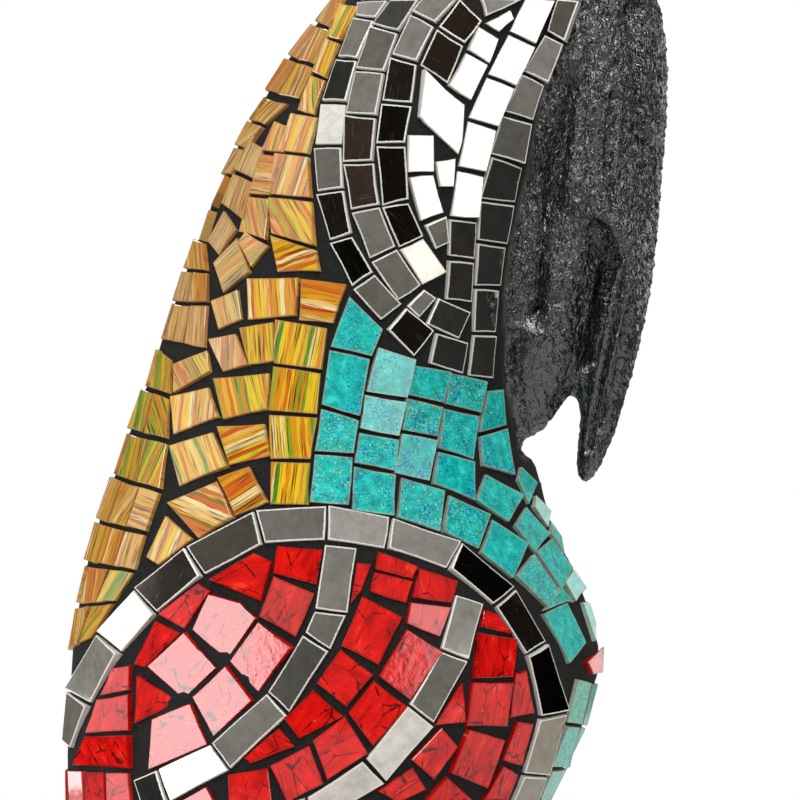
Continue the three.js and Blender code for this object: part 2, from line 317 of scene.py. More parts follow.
@dataclass(frozen=True)
class SpeckledGlass:
    """Turquoise glass fused over coloured grit, mottled and finely speckled."""

    name: str = "speckled_turquoise_glass"
    grit_mm: float = 0.55
    polish: float = 0.12

    def make(self) -> bpy.types.Material:
        """Build the material.

        Returns:
            The material.
        """
        material, tree, shader = fresh_material(self.name)
        tile = TileInputs.read(tree)
        cloud = tile.pattern(tree, 0.35, 0.35, 0.0, Detail=5.0, Roughness=0.65)
        base = ramp(tree, cloud.outputs[0], (
            (0.3, "#0a837c"), (0.45, "#0fa79c"), (0.58, "#16bdb4"), (0.74, "#4fd0c2"),
        ))
        grit = tile.pattern(tree, 1 / self.grit_mm, 1 / self.grit_mm, 4.0, Detail=2.0)
        sparse = tile.pattern(tree, 0.16, 0.16, 13.0, Detail=1.0)
        amount = math_node(tree, "MULTIPLY_ADD", sparse.outputs[0], 0.32, grit.outputs[0])
        blue = ramp(tree, amount, ((0.74, "#000000"), (0.8, "#ffffff")))
        colour = blend_colours(tree, blue, base, "#0b5fa0")
        sand = tile.pattern(tree, 1.3 / self.grit_mm, 1.3 / self.grit_mm, 31.0, Detail=2.0)
        amount = math_node(tree, "MULTIPLY_ADD", tile.seed, 0.12, sand.outputs[0])
        pale = ramp(tree, amount, ((0.73, "#000000"), (0.8, "#ffffff")))
        colour = blend_colours(tree, pale, colour, "#e0c79a")
        # painted pale reflection: the tile's tone pales the turquoise
        colour = blend_colours(tree, tile.tone, colour, "#8fbfa0")
        colour = blend_colours(tree, math_node(tree, "MULTIPLY_ADD", tile.rim, -0.5, 0.5),
                               colour, "#b48a78")
        tree.links.new(colour, shader.inputs["Base Color"])
        shader.inputs["Roughness"].default_value = self.polish
        shader.inputs["IOR"].default_value = GLASS_IOR
        add_surface_relief(tree, shader, cloud.outputs[0], 0.08)
        return material


@dataclass(frozen=True)
class CrackedRedGlass:
    """Red glass with brighter and darker ribbons, dark hair cracks and chipped rims."""

    name: str = "cracked_red_glass"
    crack_mm: float = 4.5
    polish: float = 0.07

    def make(self) -> bpy.types.Material:
        """Build the material.

        Returns:
            The material.
        """
        material, tree, shader = fresh_material(self.name)
        tile = TileInputs.read(tree)
        cloud = tile.pattern(tree, 0.3, 0.12, 0.0, Detail=4.0, Roughness=0.6)
        base = ramp(tree, cloud.outputs[0], (
            (0.3, "#8e0502"), (0.45, "#c00905"), (0.6, "#d8120a"), (0.72, "#e8412c"),
        ))
        bend = tile.pattern(tree, 0.5, 0.5, 17.0, Detail=3.0)
        crack = tile.pattern(tree, 1 / self.crack_mm, 0.45 / self.crack_mm, 5.0,
                             "ShaderNodeTexVoronoi")
        crack.feature = "DISTANCE_TO_EDGE"
        width = math_node(tree, "MULTIPLY_ADD", bend.outputs[0], 0.12, -0.045)
        line = math_node(tree, "LESS_THAN", crack.outputs[0], width)
        colour = blend_colours(tree, math_node(tree, "MULTIPLY", line, 0.85), base, "#3a0200")
        blister = tile.pattern(tree, 1.1, 1.1, 41.0, Detail=3.0)
        chips = ramp(tree, blister.outputs[0], ((0.72, "#000000"), (0.76, "#ffffff")))
        colour = blend_colours(tree, math_node(tree, "MULTIPLY", chips, 0.5), colour, "#f0a59a")
        # painted pale reflection: the tile's tone pales the red
        colour = blend_colours(tree, tile.tone, colour, "#e9b0aa")
        rim = math_node(tree, "MULTIPLY_ADD", tile.rim, -0.45, 0.45)
        colour = blend_colours(tree, rim, colour, "#7a0a06")
        tree.links.new(colour, shader.inputs["Base Color"])
        shader.inputs["Roughness"].default_value = self.polish
        shader.inputs["IOR"].default_value = GLASS_IOR
        add_surface_relief(tree, shader, bend.outputs[0], 0.1)
        return material


@dataclass(frozen=True)
class SilveredMirror:
    """Old cut mirror: grey silvering and a bright chipped rim; some tiles are painted darker or
    browner by their tone, a painted dark reflection.
    """

    name: str = "silvered_mirror"
    silver: str = "#dcdad4"
    polish: float = 0.03

    def make(self) -> bpy.types.Material:
        """Build the material.

        Returns:
            The material.
        """
        material, tree, shader = fresh_material(self.name)
        tile = TileInputs.read(tree)
        blotch = tile.pattern(tree, 0.22, 0.22, 0.0, Detail=5.0, Roughness=0.7)
        silver = ramp(tree, blotch.outputs[0], ((0.35, "#c2bfb8"), (0.6, self.silver)))
        # painted dark reflection: the tile's tone darkens and browns its silvering
        dark = ramp(tree, tile.tone, (
            (0.0, "#ffffff"), (0.35, "#b4b2ac"), (0.6, "#7a6258"), (0.8, "#4a4440"), (1.0, "#22211f"),
        ))
        face = blend_colours(tree, 1.0, silver, dark, "MULTIPLY")
        scratch = tile.pattern(tree, 5.0, 0.15, 11.0, Detail=2.0)
        marks = ramp(tree, scratch.outputs[0], ((0.68, "#000000"), (0.7, "#ffffff")))
        ragged = tile.pattern(tree, 1.6, 1.6, 3.0, Detail=4.0, Roughness=0.7)
        edge = math_node(tree, "MULTIPLY_ADD", ragged.outputs[0], 0.9, -0.05)
        chipped = math_node(tree, "LESS_THAN", tile.rim, edge)
        colour = blend_colours(tree, chipped, face, "#d9d7d0")
        colour = blend_colours(tree, math_node(tree, "MULTIPLY", marks, 0.25), colour, "#e8e6e0")
        tree.links.new(colour, shader.inputs["Base Color"])
        metal = math_node(tree, "MULTIPLY_ADD", chipped, -0.75, 1.0)
        tree.links.new(metal, shader.inputs["Metallic"])
        rough = math_node(tree, "MULTIPLY_ADD", chipped, 0.35, self.polish)
        tree.links.new(rough, shader.inputs["Roughness"])
        add_surface_relief(tree, shader, blotch.outputs[0], 0.02)
        return material


@dataclass(frozen=True)
class PaintedCarving:
    """Carved wood under satin black paint, with matt charcoal grout between the tiles."""

    name: str = "black_painted_carving"
    grain_mm: float = 0.9
    worm_mm: float = 1.9

    def make(self) -> bpy.types.Material:
        """Build the material.

        Returns:
            The material.
        """
        material, tree, shader = fresh_material(self.name)
        place = add_node(tree, "ShaderNodeTexCoord").outputs["Object"]
        grout = add_node(tree, "ShaderNodeAttribute", {"attribute_name": "grout"}).outputs["Fac"]
        stretch = add_node(tree, "ShaderNodeMapping", {"in:Scale": (1.0, 1.0, 0.3)}, {0: place})
        grain = add_node(tree, "ShaderNodeTexNoise", {
            "in:Scale": 1.0 / (self.grain_mm * MM), "in:Detail": 5.0, "in:Roughness": 0.65,
        }, {"Vector": stretch.outputs[0]})
        sand = add_node(tree, "ShaderNodeTexNoise", {
            "in:Scale": 1.0 / (0.5 * MM), "in:Detail": 3.0,
        }, {"Vector": place})
        paint = ramp(tree, grain.outputs[0], ((0.35, "#0a0909"), (0.65, "#1a1918")))
        cement = ramp(tree, sand.outputs[0], ((0.35, "#121212"), (0.7, "#242424")))
        tree.links.new(blend_colours(tree, grout, paint, cement), shader.inputs["Base Color"])
        rough = math_node(tree, "MULTIPLY_ADD", grain.outputs[0], 0.2, 0.08)
        sheen = math_node(tree, "MULTIPLY_ADD", grout, -0.85, 1.0)
        tree.links.new(sheen, shader.inputs["Specular IOR Level"])
        shader.inputs["IOR"].default_value = 1.6
        rough = math_node(tree, "MAXIMUM", rough, math_node(tree, "MULTIPLY", grout, 0.85))
        tree.links.new(rough, shader.inputs["Roughness"])
        drawn = add_node(tree, "ShaderNodeMapping", {"in:Scale": (1.0, 1.0, 0.5)}, {0: place})
        worms = add_node(tree, "ShaderNodeTexNoise", {
            "in:Scale": 1.0 / (self.worm_mm * MM), "in:Detail": 2.0, "in:Distortion": 1.0,
        }, {"Vector": drawn.outputs[0]})
        ridge = math_node(tree, "ABSOLUTE", math_node(tree, "SUBTRACT", worms.outputs[0], 0.5))
        ridge = math_node(tree, "MINIMUM", math_node(tree, "MULTIPLY", ridge, 5.0), 1.0)
        height = math_node(tree, "MULTIPLY_ADD", grain.outputs[0], 0.45, ridge)
        coarse = add_node(tree, "ShaderNodeAttribute", {"attribute_name": "coarseness"})
        height = math_node(tree, "MULTIPLY", height, coarse.outputs["Fac"])
        long_cuts = add_node(tree, "ShaderNodeMapping", {"in:Scale": (1.0, 1.0, 0.1)}, {0: place})
        gouges = add_node(tree, "ShaderNodeTexNoise", {
            "in:Scale": 1.0 / (1.1 * MM), "in:Detail": 4.0,
        }, {"Vector": long_cuts.outputs[0]})
        bare = math_node(tree, "MULTIPLY_ADD", grout, -0.9, 0.9)
        height = math_node(tree, "MULTIPLY_ADD", gouges.outputs[0], bare, height)
        add_surface_relief(tree, shader, height, 1.0, 0.34 * MM)
        return material


def add_surface_relief(tree: bpy.types.NodeTree, shader: bpy.types.Node,
                       height: bpy.types.NodeSocket, strength: float,
                       distance: float = 0.2 * MM) -> None:
    """Give a shader a fine bump from a pattern.

    Args:
        tree: The material's node tree.
        shader: Its Principled shader.
        height: The pattern's value.
        strength: The bump's strength.
        distance: The relief's real height in metres.
    """
    bump = add_node(tree, "ShaderNodeBump", {"in:Strength": strength, "in:Distance": distance},
                    {"Height": height})
    tree.links.new(bump.outputs[0], shader.inputs["Normal"])


class Side(Enum):
    """The bird's two sides."""

    RIGHT = -1
    LEFT = 1


def new_object(name: str, mesh: bpy.types.Mesh) -> bpy.types.Object:
    """Put a mesh into the scene at the origin.

    Args:
        name: The piece's name.
        mesh: Its mesh, already in place.

    Returns:
        The new object.
    """
    made = bpy.data.objects.new(name, mesh)
    bpy.context.scene.collection.objects.link(made)
    return made


@dataclass(frozen=True)
class Cut:
    """One long cut of the carver's gouge, or a ridge left standing where its depth is negative."""

    line: tuple[Place, ...]
    reach: float
    depth: float

    def height_at(self, across: float, down: float) -> float:
        """Return the height that the cut gives at a place of the sheet, in millimetres.

        Args:
            across: How far across the sheet.
            down: How far down the sheet.

        Returns:
            The height, below 0 in a cut.
        """
        spot = Vector((across, down))
        nearest = 1e9
        for start, end in zip(self.line, self.line[1:]):
            one, two = Vector(start), Vector(end)
            along = two - one
            share = min(max((spot - one).dot(along) / along.length_squared, 0.0), 1.0)
            nearest = min(nearest, (spot - one - along * share).length)
        return -self.depth * math.exp(-((nearest / self.reach) ** 2))


BILL_CUTS: tuple[Cut, ...] = (
    Cut(((566, 90), (552, 160), (541, 240), (533, 315)), 13.0, 5.4),
    Cut(((562, 86), (534, 150), (519, 200), (511, 260), (508, 320)), 8.0, -1.0),
    Cut(((572, 180), (582, 240), (586, 280)), 11.0, -1.2),
    Cut(((634, 10), (641, 90), (643, 190)), 7.0, 3.6),
    Cut(((594, 228), (604, 236), (608, 262), (599, 303), (593, 335), (587, 367)), 5.0, 4.6),
    Cut(((620, 272), (615, 306), (608, 351), (598, 399), (588, 450)), 3.6, 2.3),
    Cut(((634, 287), (623, 338), (610, 392), (600, 430)), 3.4, 1.8),
    Cut(((612, 285), (602, 345), (594, 400), (586, 455)), 3.6, -0.6),
    Cut(((628, 280), (618, 330), (606, 385)), 3.0, -0.6),
    Cut(((572, 300), (545, 306), (520, 322)), 5.0, 1.0),
    Cut(((592, 50), (583, 110), (590, 165)), 5.0, 1.2),
    Cut(((615, 100), (606, 160), (613, 205)), 4.5, 1.2),
)


@dataclass
class CarvedBody:
    """The carved core with the bill, its grout between the tiles and its rough carving."""

    voxel: float = 1.42 * MM
    smoothing: int = 14
    grout_reach: float = 1.9 * MM
    mesh: bpy.types.Mesh | None = None
    faces: BVHTree | None = None

    def merged_copy(self) -> bpy.types.Object:
        """Copy the CAD carving with its doubles merged.

        Returns:
            The copy.
        """
        bm = bmesh.new()
        bm.from_mesh(bpy.data.objects["carved_body"].data)
        bmesh.ops.remove_doubles(bm, verts=bm.verts, dist=0.002 * MM)
        mesh = bpy.data.meshes.new("carving_source")
        bm.to_mesh(mesh)
        bm.free()
        return new_object("carving_source", mesh)

    def remeshed(self) -> bmesh.types.BMesh:
        """Return the carving as an even, smoothed mesh.

        Returns:
            The mesh.
        """
        source = self.merged_copy()
        modifier = source.modifiers.new("even", "REMESH")
        modifier.mode = "VOXEL"
        modifier.voxel_size = self.voxel
        depsgraph = bpy.context.evaluated_depsgraph_get()
        mesh = bpy.data.meshes.new_from_object(source.evaluated_get(depsgraph))
        bpy.data.objects.remove(source)
        bm = bmesh.new()
        bm.from_mesh(mesh)
        bpy.data.meshes.remove(mesh)
        sole = [v for v in bm.verts if v.co.z < SOLE]
        keep = {v.index: v.co.z for v in sole}
        for _ in range(self.smoothing):
            bmesh.ops.smooth_vert(bm, verts=bm.verts, factor=0.5, use_axis_x=True,
                                  use_axis_y=True, use_axis_z=True)
            for vert in sole:
                vert.co.z = keep[vert.index]
        return bm

    def skins(self) -> BVHTree:
        """Return a search tree over every tile skin of the CAD model.

        Returns:
            The search tree.
        """
        bm = bmesh.new()
        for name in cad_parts:
            if name != "carved_body":
                bm.from_mesh(bpy.data.objects[name].data)
        tree = BVHTree.FromBMesh(bm)
        bm.free()
        return tree

    def build(self) -> bpy.types.Object:
        """Make the carving, and the surface that the tiles' faces follow.

        Returns:
            The carving.
        """
        bm = self.remeshed()
        bm.normal_update()
        skins = self.skins()
        grout_layer = bm.verts.layers.float.new("grout")
        for vert in bm.verts:
            distance = skins.find_nearest(vert.co)[3]
            vert[grout_layer] = 1.0 if distance < self.grout_reach else 0.0
        self.soften(bm, grout_layer, 3)
        lifted = bm.copy()
        for vert, source in zip(lifted.verts, bm.verts):
            if source.co.z > SOLE:
                vert.co = source.co + source.normal * FACE_LIFT
        self.faces = BVHTree.FromBMesh(lifted)
        lifted.free()
        self.refine_bill(bm, grout_layer)
        self.carve(bm, grout_layer)
        mesh = bpy.data.meshes.new("carved_bird")
        bm.to_mesh(mesh)
        bm.free()
        mesh.shade_smooth()
        made = new_object("carved_bird", mesh)
        made.data.materials.append(PaintedCarving().make())
        return made

    @staticmethod
    def soften(bm: bmesh.types.BMesh, layer: object, rounds: int) -> None:
        """Average a vertex value with its neighbours.

        Args:
            bm: The mesh.
            layer: The value's layer.
            rounds: How often.
        """
        for _ in range(rounds):
            fresh = [
                sum(e.other_vert(v)[layer] for e in v.link_edges) / max(len(v.link_edges), 1)
                for v in bm.verts
            ]
            for vert, value in zip(bm.verts, fresh):
                vert[layer] = 0.5 * (vert[layer] + value)

    @staticmethod
    def refine_bill(bm: bmesh.types.BMesh, layer: object) -> None:
        """Halve the mesh where the carving is bare.

        Args:
            bm: The carving.
            layer: Where the grout lies, 1 between the tiles.
        """
        bare = [f for f in bm.faces if all(v[layer] < 0.3 and v.co.z > 3 * MM for v in f.verts)]
        edges = list(dict.fromkeys(edge for face in bare for edge in face.edges))
        bmesh.ops.subdivide_edges(bm, edges=edges, cuts=1, use_grid_fill=True, smooth=0.4)

    @staticmethod
    def roughness_at(point: Vector) -> float:
        """Return the height of the rough carving at a point of the bill, in metres.

        Args:
            point: The point, in metres.

        Returns:
            The height, in metres.
        """
        x, y, z = point / MM
        across = x * MM / SQUARE + SHEET_MIDDLE
        down = SHEET_FLOOR - z * MM / SQUARE
        cuts = sum(cut.height_at(across, down) for cut in BILL_CUTS)
        ridges = noise.noise(Vector((x * 0.3, y * 0.3, z * 0.05)))
        bend = 1.3 * noise.noise_vector(Vector((x * 0.25, y * 0.25, z * 0.2)))
        spot = Vector((x * 0.5, y * 0.5, z * 0.24)) + bend
        worm = 1.0 - 2.6 * abs(noise.noise(spot))
        pits = noise.noise(Vector((x * 0.95, y * 0.95 + 7, z * 0.7)))
        grain = noise.noise(Vector((x * 1.2, y * 1.2, z * 0.16 + 5)))
        rough = CarvedBody.coarseness(z)
        height = 0.45 * ridges + rough * (0.65 * max(worm, -0.6) + 0.5 * pits) + 0.3 * grain
        return (height + cuts - 0.5) * MM

    @staticmethod
    def coarseness(height: float) -> float:
        """Return how rough the carving is at a height in millimetres: smoother down the hook."""
        return min(max((height - 112.0) / 40.0, 0.5), 1.0)

    def carve(self, bm: bmesh.types.BMesh, layer: object) -> None:
        """Lift the grout round the tiles, and roughen the bare carving.

        Args:
            bm: The carving.
            layer: Where the grout lies, 1 between the tiles.
        """
        bm.normal_update()
        coarse_layer = bm.verts.layers.float.new("coarseness")
        moves = []
        for vert in bm.verts:
            vert[coarse_layer] = self.coarseness(vert.co.z / MM) * (1.0 - 0.94 * vert[layer])
            if vert.co.z < SOLE:
                moves.append(Vector())
                continue
            grout = vert[layer]
            grit = 0.12 * MM * noise.noise(vert.co / (1.1 * MM))
            bare = self.roughness_at(vert.co)
            moves.append(vert.normal * (grout * (GROUT_LIFT + grit) + (1.0 - grout) * bare))
        for vert, move in zip(bm.verts, moves):
            vert.co += move


@dataclass
class Tile:
    """One hand-cut tile: the corners of its face, and what its finish reads."""

    corners: list[Vector]
    along: Vector
    tone: float = 0.0
    seed: float = 0.0


@dataclass
class TileBed:
    """Lays tiles drawn on the sheet onto the body, and cuts them."""

    faces: BVHTree
    random: random.Random
    thickness: float = 2.9 * MM
    arris: float = 0.16 * MM
    rim: float = 0.55 * MM
    slip: float = 0.17 * MM  # how far a corner is off its place
    out_of_true: float = 9.0  # most degrees that a bright tile is turned
    lamps: tuple[Corner, Corner] = ((0.98, -0.82, 0.18), (-0.95, -0.62, -0.02))
    joint: float = 3.6  # squares between two tiles of a course
    clear: float = 0.35 * MM  # least distance of a tile's corner from the plane of symmetry
    bedding: float = 0.6  # share of a curved place's rise that its flat tile is bedded up by
    most_bedding: float = 1.6 * MM
    least_bedding: float = -0.5 * MM
    tiles: list[Tile] = field(default_factory=list)

    def on_face(self, across: float, down: float, side: Side) -> Vector:
        """Return the point of the body's face at a place of the sheet, on one side.

        Args:
            across: How far across the sheet.
            down: How far down the sheet.
            side: The bird's side.

        Returns:
            The point.
        """
        x, z = to_x(across), to_z(down)
        start = Vector((x, side.value * 0.3, z))
        hit = self.faces.ray_cast(start, Vector((0, -side.value, 0)))[0]
        if hit is None or hit.y * side.value < 0:
            hit = self.faces.find_nearest(Vector((x, side.value * 0.5 * MM, z)))[0]
            hit.y = side.value * max(hit.y * side.value, self.clear)
        return hit

    def faced(self, normal: Vector, centre: Vector) -> Vector:
        """Turn a tile a little to the softbox that it mirrors in the photograph.

        Args:
            normal: The tile's normal as laid.
            centre: The tile's middle.

        Returns:
            The normal, moved by no more than a hand-laid tile may be out of true.
        """
        side = math.copysign(1.0, centre.y)
        lamp = Vector(self.lamps[centre.z < 0.07])
        lamp.y *= -side
        best = ((lamp - centre).normalized() + Vector((0, side, 0))).normalized()
        away = normal.angle(best)
        if away < 1e-4:
            return best
        return normal.slerp(best, min(1.0, math.radians(self.out_of_true) / away))

    def lay_points(self, points: list[Vector], along: Vector, tone: float, lean: float) -> None:
        """Flatten one tile's corners and keep it.

        Args:
            points: Corners on the body's face.
            along: The tile's own long direction.
            tone: The finish's tone.
            lean: Most that it leans off the surface, in degrees.
        """
        centre = sum(points, Vector()) / len(points)
        slip = self.slip
        points = [
            point + Vector([self.random.uniform(-slip, slip) for _ in range(3)]) for point in points
        ]
        normal = Vector()
        for one, two in zip(points, points[1:] + points[:1]):
            normal += (one - centre).cross(two - centre)
        if normal.length < 1e-12:
            return
        normal.normalize()
        if normal.dot(self.faces.find_nearest(centre)[1]) < 0:
            normal.negate()
            points = points[::-1]
        if tone < 0:
            normal = self.faced(normal, centre)
            along = (along - normal * along.dot(normal)).normalized()
            lean = 0.3
            tone = -1.0 - tone
        turn = Matrix.Rotation(math.radians(self.random.uniform(-lean, lean)), 3, along)
        across = normal.cross(along)
        turn = Matrix.Rotation(math.radians(self.random.uniform(-lean, lean)), 3, across) @ turn
        top = self.faces.ray_cast(centre + normal * 8 * MM, -normal)[0]
        rise = (top - centre).dot(normal) if top else 0.0
        lift = min(max(self.bedding * rise, self.least_bedding), self.most_bedding)
        centre = centre + normal * lift
        flat = [point - normal * normal.dot(point - centre) for point in points]
        self.tiles.append(Tile([centre + turn @ (p - centre) for p in flat],
                               (turn @ along).normalized(), tone, self.random.random()))

    def lay(self, outline: Sequence[Place], side: Side, tone: float = 0.0, lean: float = 1.2,
            along: tuple[Place, Place] | None = None) -> None:
        """Lay one tile drawn on the sheet.

        Args:
            outline: Its corners on the sheet.
            side: The bird's side.
            tone: The finish's tone.
            lean: Most that it leans, in degrees.
            along: Two places that give its long direction.
        """
        points = [self.on_face(across, down, side) for across, down in outline]
        if along is None:
            along = (outline[0], outline[-1])
        direction = self.on_face(*along[1], side) - self.on_face(*along[0], side)
        if direction.length < 1e-9:
            direction = Vector((0, 0, 1))
        self.lay_points(points, direction.normalized(), tone, lean)

    def course(self, stops: Sequence[Stop], side: Side, tones: Sequence[float] = (),
               lean: float = 1.2) -> None:
        """Lay a course of tiles between the cut lines across it.

        Args:
            stops: The two ends of each cut line.
            side: The bird's side.
            tones: Each tile's tone, plain where there are fewer.
            lean: Most that a tile leans, in degrees.
        """
        for index, (start, end) in enumerate(zip(stops, stops[1:])):
            tone = tones[index] if index < len(tones) else 0.0
            outline = []
            for one, two in ((start[:2], end[:2]), (end[:2], start[:2]),
                             (end[2:], start[2:]), (start[2:], end[2:])):
                away = Vector((two[0] - one[0], two[1] - one[1]))
                shift = away.normalized() * min(self.joint / 2, away.length / 4)
                outline.append((one[0] + shift.x, one[1] + shift.y))
            middle = tuple(((s[0] + s[2]) / 2, (s[1] + s[3]) / 2) for s in (start, end))
            self.lay(outline, side, tone, lean, middle)

    def cut(self, name: str, material: bpy.types.Material) -> bpy.types.Object:
        """Cut every tile that was laid, as one piece.

        Args:
            name: The piece's name.
            material: The tiles' finish.

        Returns:
            The piece.
        """
        bm = bmesh.new()
        number = bm.verts.layers.int.new("tile_number")
        for index, tile in enumerate(self.tiles):
            verts = [bm.verts.new(corner) for corner in tile.corners]
            for vert in verts:
                vert[number] = index
            bm.faces.new(verts)
        self.roughen_cuts(bm)
        bm.normal_update()
        tops = list(bm.faces)
        normals = [face.normal.copy() for face in tops]
        made = bmesh.ops.extrude_face_region(bm, geom=tops)["geom"]
        for vert in (item for item in made if isinstance(item, bmesh.types.BMVert)):
            vert.co -= normals[vert[number]] * self.thickness
        bmesh.ops.recalc_face_normals(bm, faces=bm.faces)
        edges = list(dict.fromkeys(edge for face in tops for edge in face.edges))
        bmesh.ops.bevel(bm, geom=edges, offset=self.arris, segments=1, profile=0.5,
                        affect="EDGES", material=-1, clamp_overlap=True)
        bm.normal_update()
        tops = [f for f in bm.faces if self.is_top(f, f.verts[0][number], normals)]
        bmesh.ops.inset_individual(bm, faces=tops, thickness=self.rim, use_even_offset=True)
        self.mark(bm, number, normals)
        mesh = bpy.data.meshes.new(name)
        bm.to_mesh(mesh)
        bm.free()
        made_object = new_object(name, mesh)
        made_object.data.materials.append(material)
        self.tiles.clear()
        return made_object

    def roughen_cuts(self, bm: bmesh.types.BMesh) -> None:
        """Break each straight cut once, a little out of line, as a hand-cut edge is.

        Args:
            bm: The tiles' faces, before they get their thickness.
        """
        before = set(bm.verts)
        bmesh.ops.subdivide_edges(bm, edges=bm.edges, cuts=1)
        bm.normal_update()
        for vert in bm.verts:
            if vert in before:
                continue
            inwards = (vert.link_faces[0].calc_center_median() - vert.co).normalized()
            vert.co += inwards * self.random.uniform(-0.12, 0.2) * MM

    def is_top(self, face: bmesh.types.BMFace, index: int, normals: list[Vector]) -> bool:
        """Tell a tile's face from its rims, walls and back."""
        height = (face.calc_center_median() - self.tiles[index].corners[0]).dot(normals[index])
        return face.normal.dot(normals[index]) > 0.999 and abs(height) < 0.08 * MM

    def mark(self, bm: bmesh.types.BMesh, number: object, normals: list[Vector]) -> None:
        """Write what the finishes read: the tile's own map, tone, seed and rim.

        Args:
            bm: The cut tiles.
            number: The layer with each vertex's tile.
            normals: Each tile's own normal.
        """
        uv = bm.loops.layers.uv.new("tile_mm")
        tone = bm.faces.layers.float.new("tile_tone")
        seed = bm.faces.layers.float.new("tile_seed")
        rim = bm.verts.layers.float.new("tile_rim")
        for face in bm.faces:
            index = face.verts[0][number]
            tile = self.tiles[index]
            face[tone] = tile.tone
            face[seed] = tile.seed
            slant = math.radians(STREAK_SLANTS[int(tile.seed * 97) % len(STREAK_SLANTS)])
            along = Matrix.Rotation(slant, 3, normals[index]) @ tile.along
            across = normals[index].cross(along)
            inner = self.is_top(face, index, normals) and self.is_inner(face)
            for loop in face.loops:
                off = (loop.vert.co - tile.corners[0]) / MM
                loop[uv].uv = (off.dot(across) + 40 * tile.seed, off.dot(along))
                if inner:
                    loop.vert[rim] = 1.0

    @staticmethod
    def is_inner(face: bmesh.types.BMFace) -> bool:
        """Tell the face inside the rim: it has as many corners as the tile's outline."""
        return len(face.verts) > 4


def both_sides(lay: Callable[[Side], None]) -> None:
    """Lay the same tiles on the bird's right and left."""
    for side in Side:
        lay(side)


# How far a tile's streaks are off its long direction, in degrees
STREAK_SLANTS = (0, 5, -6, 28, 0, -3, 8, 88, 2, -24)

# Tones: painted reflection, how much darker a mirror tile is painted, and how much paler a glass one
DARK = 0.88
BROWN = 0.7
DIM = 0.4
BRIGHT = -1.0  # turned to a softbox; nearer to 0 is also paler

EYE = (496.0, -42.0)

CHEEK_COURSES: tuple[tuple[tuple[Stop, ...], tuple[float, ...]], ...] = (
    (((466, -86, 472, -70), (432, -71, 443, -54), (400, -47, 416, -32), (376, -17, 402, -8),
      (358, 2, 388, 3), (355, 19, 374, 22), (337, 61, 356, 62), (322, 105, 346, 106),
      (315, 149, 341, 148), (318, 195, 343, 192), (330, 244, 352, 237), (353, 289, 374, 275),
      (383, 322, 403, 307)), (0, 0, 0, 0, 0, 0, 0, 0, 0, DARK, DARK, 0)),
    (((386, 330, 405, 308), (416, 358, 434, 332)), (DARK,)),
    (((428, 363, 434, 333), (464, 374, 470, 344)), (0,)),
    (((420, -32, 448, -24), (391, 2, 418, 2), (371, 28, 397, 36), (356, 73, 383, 76),
      (346, 117, 376, 120), (343, 166, 373, 165), (352, 214, 379, 208), (371, 262, 396, 250),
      (399, 304, 422, 288)), (0, 0, 0, 0, BROWN, BROWN, 0, 0)),
    (((406, 307, 423, 290), (421, 320, 437, 300)), (0,)),
    (((426, 324, 437, 299), (460, 340, 472, 314)), (0,)),
    (((436, -14, 462, -4), (411, 17, 434, 29), (391, 60, 416, 67), (382, 105, 411, 108),
      (377, 148, 405, 148), (382, 209, 408, 204), (400, 251, 423, 240), (423, 288, 446, 275)),
     (0, 0, DARK, DARK, DARK, DARK, DIM)),
    (((460, 2, 483, 24), (437, 33, 463, 49), (420, 71, 447, 90)), (BROWN, BROWN)),
    (((408, 137, 435, 137), (408, 178, 434, 176), (421, 225, 444, 217)), (BRIGHT, BRIGHT)),
    (((478, 30, 500, 41), (467, 56, 489, 68), (446, 91, 470, 105)), (BRIGHT, BRIGHT)),
    (((546, -38, 570, -36), (526, 1, 553, 3), (510, 37, 533, 49), (488, 80, 513, 90),
      (469, 123, 496, 131), (458, 172, 483, 177), (450, 220, 477, 222), (448, 260, 474, 262),
      (446, 302, 472, 305)), (BRIGHT, BRIGHT, BRIGHT, BRIGHT, BRIGHT, BRIGHT, 0, 0)),
    (((562, -70, 582, -72), (573, -34, 591, -34), (556, 1, 578, 3), (545, 36, 562, 45),
      (521, 75, 546, 87), (503, 116, 532, 125), (491, 158, 521, 168), (480, 202, 514, 206),
      (477, 244, 505, 247), (475, 288, 500, 289), (474, 335, 496, 335), (469, 377, 493, 380)),
     (0, 0, DIM, 0, 0, BRIGHT, 0, 0, 0, 0, 0)),
)
CHEEK_SINGLES: tuple[tuple[tuple[Place, ...], float], ...] = (
    (((423, 74), (446, 93), (465, 108), (463, 144), (458, 157), (424, 126), (419, 121)), BRIGHT),
    (((436, 165), (456, 162), (453, 190), (439, 190)), BRIGHT),
    (((424, 228), (447, 219), (449, 245), (436, 251)), 0),
    (((480, 3), (521, 4), (503, 13), (485, 20)), BRIGHT),
    (((486, 28), (509, 15), (513, 23), (498, 37)), 0),
)
